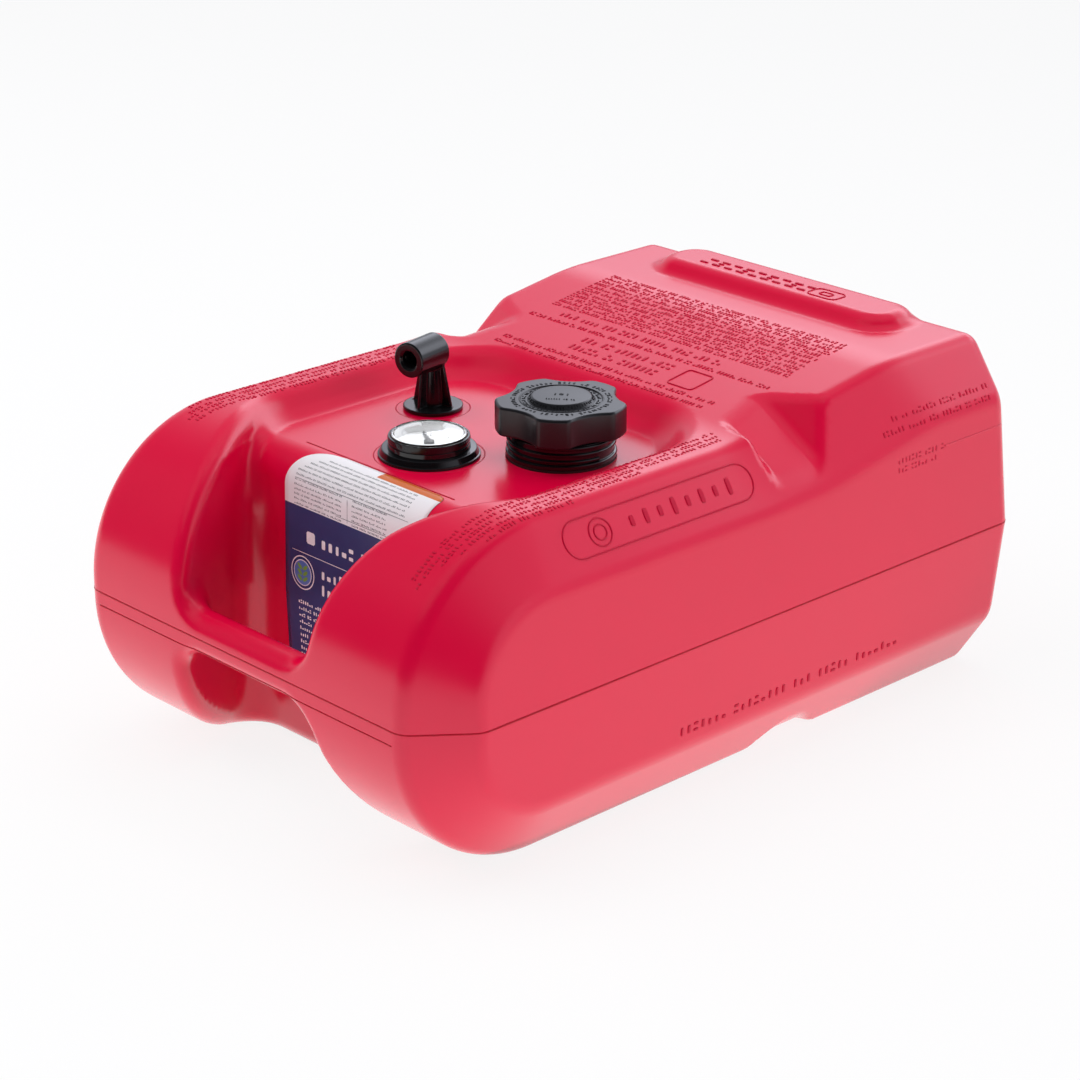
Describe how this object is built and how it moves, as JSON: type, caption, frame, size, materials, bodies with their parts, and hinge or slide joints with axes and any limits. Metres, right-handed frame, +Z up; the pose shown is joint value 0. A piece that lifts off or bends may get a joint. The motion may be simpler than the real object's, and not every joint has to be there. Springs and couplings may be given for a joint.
{
  "type": "portable outboard fuel tank",
  "caption": "Low rectangular fuel tank with a moulded carrying bar, recessed deck, screw cap with vacuum vent, float gauge and swivelling pickup elbow.",
  "frame": {"origin": "on the surface that the tank stands on, under the middle of its length and width", "axes": "+Z up; -Y towards the nose with the carrying bar; +X to the right when looking along +Y, on the filler's side"},
  "size_m": [0.3566, 0.516, 0.2477],
  "materials": {
    "tank_red": "semi-gloss moulded polyethylene",
    "black_gloss": "moulded, glossy",
    "black_satin": "moulded, satin",
    "clear_lens": "clear, polished",
    "dial_white": "printed sheet",
    "pointer_dark": "painted",
    "label_film": "printed film",
    "seal_rubber": "moulded nitrile",
    "white_acetal": "moulded acetal",
    "strip_metal": "bright strip",
    "float_foam": "closed-cell nitrile foam",
    "spring_steel": "stainless wire"
  },
  "bodies": {
    "tank": {"tank_shell": "tank_red", "instruction_label": "label_film", "filler_neck": "black_satin", "filler_seal": "seal_rubber", "filler_lock_ring": "black_satin", "gauge_body": "black_satin", "gauge_seal": "seal_rubber", "gauge_lock_ring": "black_satin", "gauge_bezel": "black_gloss", "gauge_lens": "clear_lens", "gauge_dial": "dial_white", "gauge_rod_left": "white_acetal", "gauge_rod_right": "white_acetal", "gauge_foot": "white_acetal", "pickup_grommet": "seal_rubber"},
    "cap_seal": {"cap_gasket": "seal_rubber"},
    "cap": {"cap_knob": "black_satin", "cap_insert": "black_satin", "cap_ratchet_ring": "white_acetal", "vent_cage": "white_acetal", "vent_spring": "spring_steel"},
    "vent": {"vent_disc": "seal_rubber"},
    "float": {"gauge_float": "float_foam"},
    "pointer": {"gauge_strip": "strip_metal", "gauge_pointer": "pointer_dark"},
    "pickup": {"pickup_elbow": "black_gloss", "pickup_tube": "white_acetal", "pickup_strainer": "white_acetal", "pickup_retainer": "spring_steel"}
  },
  "joints": [
    {"name": "cap_lift", "type": "slide", "parent": "tank", "child": "cap_seal", "axis": [0, 0, 1], "range_m": [0, 0.012]},
    {"name": "cap_turn", "type": "hinge", "parent": "cap_seal", "child": "cap", "pos_m": [0.0564, -0.0439, 0.2275], "axis": [0, 0, 1], "range_deg": [0, 720]},
    {"name": "vent_travel", "type": "slide", "parent": "cap", "child": "vent", "axis": [0, 0, 1], "range_m": [-0.003, 0], "stiffness_N_per_m": 40, "springref_m": 0.003, "deforming": ["vent_spring"]},
    {"name": "float_rise", "type": "slide", "parent": "tank", "child": "float", "axis": [0, 0, 1], "range_m": [0, 0.134]},
    {"name": "pointer_turn", "type": "hinge", "parent": "tank", "child": "pointer", "pos_m": [0, -0.103, 0.1975], "axis": [0, 0, 1], "range_deg": [-120, 0]},
    {"name": "pickup_swivel", "type": "hinge", "parent": "tank", "child": "pickup", "pos_m": [-0.0633, -0.0437, 0.1975], "axis": [0, 0, 1], "continuous": true}
  ],
  "couplings": [
    {"joint": "cap_lift", "follows": "cap_turn", "m_per_rad": 0.00095493},
    {"joint": "pointer_turn", "follows": "float_rise", "rad_per_m": -15.63}
  ]
}
